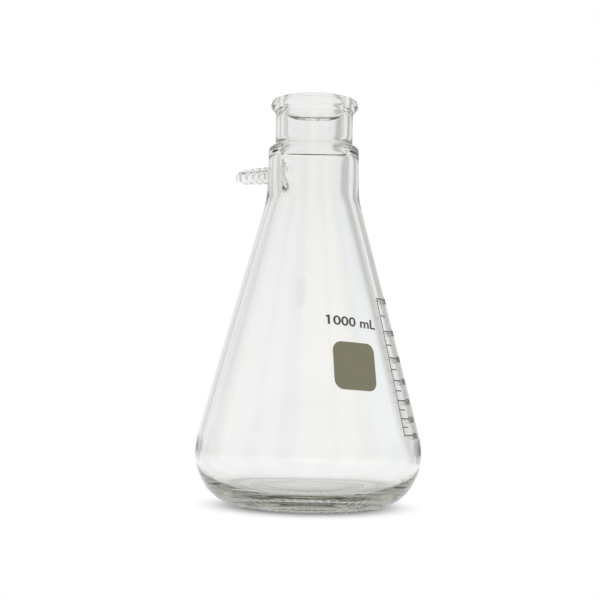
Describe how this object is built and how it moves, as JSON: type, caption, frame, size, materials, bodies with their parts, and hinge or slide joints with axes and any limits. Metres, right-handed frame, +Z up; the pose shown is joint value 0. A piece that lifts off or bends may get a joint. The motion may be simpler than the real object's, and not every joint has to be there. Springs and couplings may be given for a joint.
{
  "type": "filter flask",
  "caption": "Conical heavy-wall glass filter flask with a stepped neck, a rolled rim, a barbed side arm for a vacuum hose, and enamel graduations.",
  "frame": {"origin": "centre of the plane the flask stands on, on its axis", "axes": "+Z up along the flask's axis, -X along the side arm, +X towards the enamel"},
  "size_m": [0.132, 0.132, 0.237],
  "materials": {
    "clear_glass": "fire polished",
    "olive_enamel": "matte fired enamel",
    "dark_enamel": "matte fired enamel"
  },
  "bodies": {
    "root": {"flask": "clear_glass", "marking_patch": "olive_enamel", "graduation_scale": "dark_enamel"}
  },
  "joints": []
}
